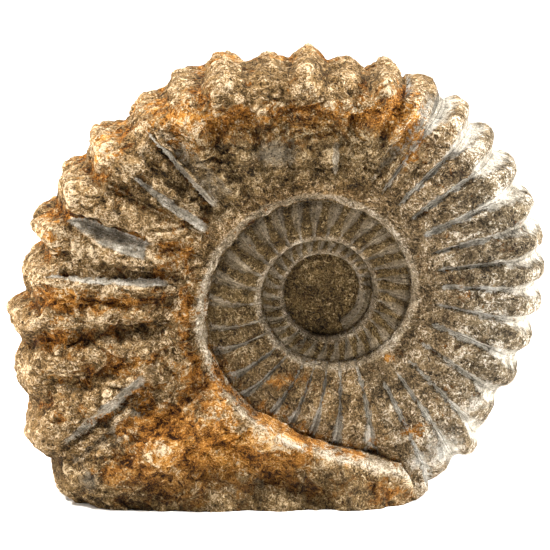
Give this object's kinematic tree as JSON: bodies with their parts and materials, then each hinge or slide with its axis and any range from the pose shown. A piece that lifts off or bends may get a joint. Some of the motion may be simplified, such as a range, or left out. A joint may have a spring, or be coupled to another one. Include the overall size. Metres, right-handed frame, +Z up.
{
  "type": "ammonite fossil",
  "caption": "Large ribbed ammonite fossil, a coiled natural stone that stands on the flat cut of its base.",
  "frame": {"origin": "middle of the stone's bounding box in plan, at the level of the flat cut that it stands on", "axes": "+X to the right along the stone's length, +Y from the pictured side to the back, along the axis of the coil, +Z up"},
  "size_m": [0.4057, 0.154, 0.3362],
  "materials": {
    "stone": "rough granular brown limestone with rust-orange stains, grey chiselled facets and pale worn ridges"
  },
  "bodies": {
    "root": {"ammonite": "stone"}
  },
  "joints": []
}
